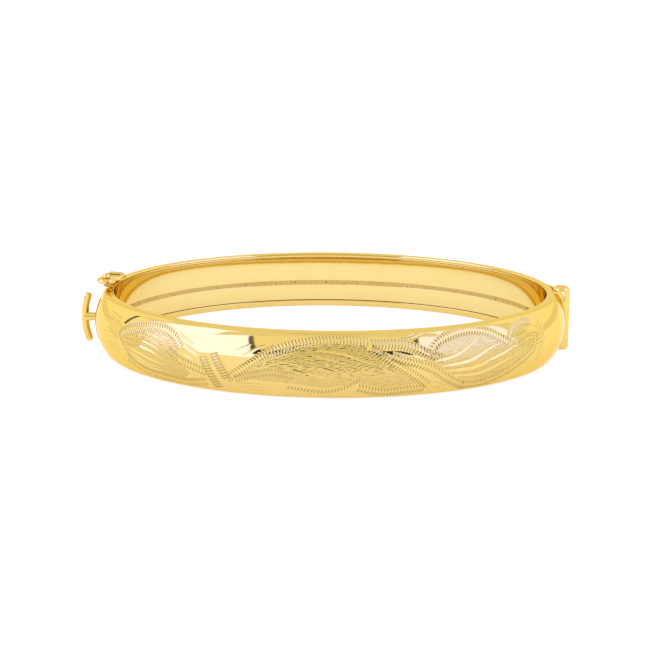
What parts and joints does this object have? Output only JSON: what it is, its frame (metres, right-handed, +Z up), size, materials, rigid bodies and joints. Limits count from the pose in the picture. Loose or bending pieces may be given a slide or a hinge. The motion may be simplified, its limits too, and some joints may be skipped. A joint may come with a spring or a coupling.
{
  "type": "hinged bangle bracelet",
  "caption": "Oval hinged bangle bracelet: hollow D-section halves, leaf-engraved front, push-piece snap clasp and figure-eight safety catch over a ball stud.",
  "frame": {"origin": "under the middle of the closed bangle's bounding box, on the plane of the lower rim", "axes": "+Z up along the band's width, +X from the clasp end to the hinge, +Y from the engraved front half to the plain back half"},
  "size_m": [0.065, 0.0534, 0.0098],
  "materials": {
    "polished_gold": "high polish",
    "engraved_gold": "high polish with bright-cut and hatched engraving",
    "lining_gold": "polished, fine wear",
    "seam_solder": "satin",
    "spring_gold": "fine brushed",
    "pin_gold": "polished"
  },
  "bodies": {
    "back_half": {"back_shell": "polished_gold", "back_liner_upper": "lining_gold", "back_liner_lower": "lining_gold", "back_seam_strip": "seam_solder", "back_clasp_mouth": "lining_gold", "back_hinge_end": "lining_gold", "hinge_knuckle_bottom": "polished_gold", "hinge_knuckle_top": "polished_gold", "hinge_pin": "pin_gold", "safety_tube": "polished_gold"},
    "front_half": {"front_shell": "engraved_gold", "front_liner_upper": "lining_gold", "front_liner_lower": "lining_gold", "front_seam_strip": "seam_solder", "front_clasp_end": "lining_gold", "front_hinge_end": "lining_gold", "hinge_knuckle_middle": "polished_gold", "tongue_base": "spring_gold", "safety_ball": "polished_gold"},
    "push_piece": {"spring_leaf": "spring_gold", "push_post": "polished_gold", "push_bar": "polished_gold"},
    "safety_catch": {"safety_eight": "polished_gold"}
  },
  "joints": [
    {"name": "bangle_hinge", "type": "hinge", "parent": "back_half", "child": "front_half", "pos_m": [0.03135, 0, 0.004], "axis": [0, 0, 1], "range_deg": [0, 60]},
    {"name": "push_release", "type": "hinge", "parent": "front_half", "child": "push_piece", "pos_m": [-0.02857, 0.005, 0.004], "axis": [0, 0, 1], "range_deg": [0, 5.2], "stiffness_Nm_per_rad": 0.05},
    {"name": "safety_swing", "type": "hinge", "parent": "back_half", "child": "safety_catch", "pos_m": [-0.028, 0.0029, 0.0088], "axis": [-0.9778, 0.2095, 0], "range_deg": [0, 165]}
  ]
}
